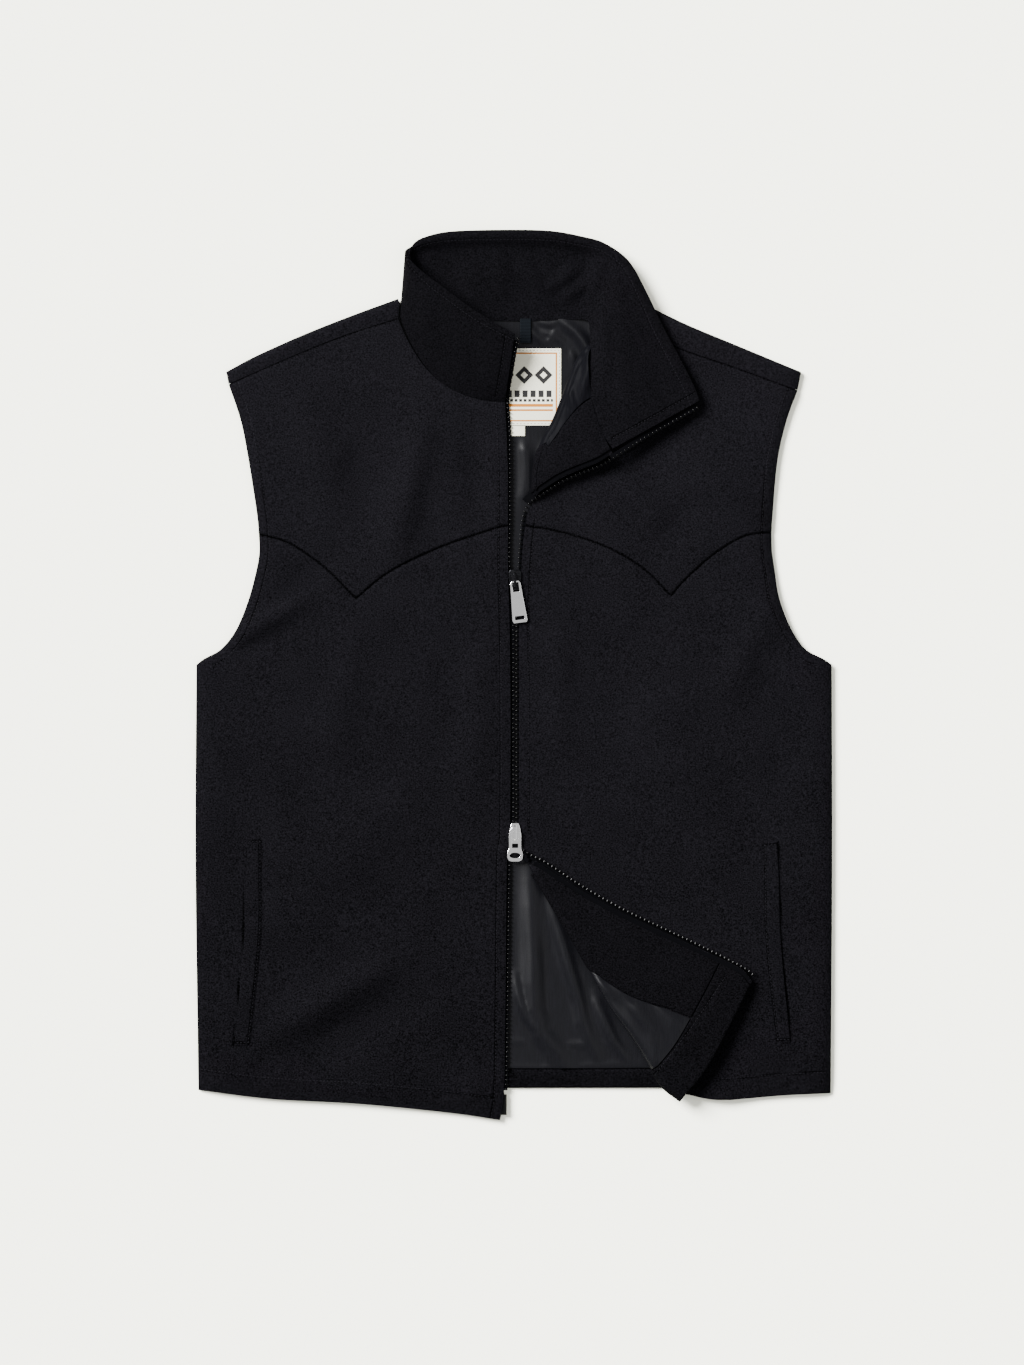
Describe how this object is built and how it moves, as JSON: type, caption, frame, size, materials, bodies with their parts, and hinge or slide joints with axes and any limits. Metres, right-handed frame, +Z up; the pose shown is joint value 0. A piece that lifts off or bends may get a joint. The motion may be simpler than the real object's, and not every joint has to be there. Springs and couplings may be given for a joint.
{
  "type": "western vest",
  "caption": "Dark wool western vest laid flat, front up: stand collar, pointed yokes, slanted welt pockets, two-way zip, neck corner and hem corner of the left front turned back over it.",
  "frame": {"origin": "centre of the bounding box in plan, at the height of the surface the vest lies on", "axes": "+Y towards the collar, +Z up out of the front, +X towards the wearer's left, as the picture shows it"},
  "size_m": [0.5601, 0.7824, 0.0293],
  "materials": {
    "wool_cloth": "dense woven wool with a brushed nap",
    "wool_inside": "the same wool on the facings and the hem bands",
    "satin_lining": "dark grey satin",
    "woven_label": "cream woven label cloth",
    "ribbed_tape": "dark ribbed tape",
    "moulded_teeth": "black moulded plastic",
    "nickel_plate": "nickel plated zinc",
    "black_nickel": "black plated zinc"
  },
  "bodies": {
    "cloth": {"back": "wool_cloth", "back_hem_band": "wool_inside", "back_lining": "satin_lining", "collar": "wool_cloth", "collar_facing": "wool_inside", "facing_left_hem": "wool_inside", "facing_left_neck": "wool_inside", "front_left": "wool_cloth", "front_lining_left_hem": "satin_lining", "front_lining_left_neck": "satin_lining", "front_right": "wool_cloth", "hanger_loop": "ribbed_tape", "hem_band_left": "wool_inside", "label": "woven_label", "size_tab": "woven_label", "slider_low": "nickel_plate", "slider_top": "black_nickel", "welt_left": "wool_cloth", "welt_right": "wool_cloth", "yoke_left": "wool_cloth", "yoke_right": "wool_cloth", "zip_chain_left": "moulded_teeth", "zip_chain_right": "moulded_teeth", "zip_pin": "moulded_teeth"},
    "pull_top": {"pull_top": "nickel_plate"},
    "pull_low": {"pull_low": "nickel_plate"}
  },
  "joints": [
    {"name": "pull_top_hinge", "type": "hinge", "parent": "cloth", "child": "pull_top", "pos_m": [0.0009, 0.0825, 0.01125], "axis": [-0.9919, -0.1271, 0], "range_deg": [0, 150]},
    {"name": "pull_low_hinge", "type": "hinge", "parent": "cloth", "child": "pull_low", "pos_m": [0.0009, -0.1341, 0.01125], "axis": [-1, 0, 0], "range_deg": [0, 150]}
  ]
}
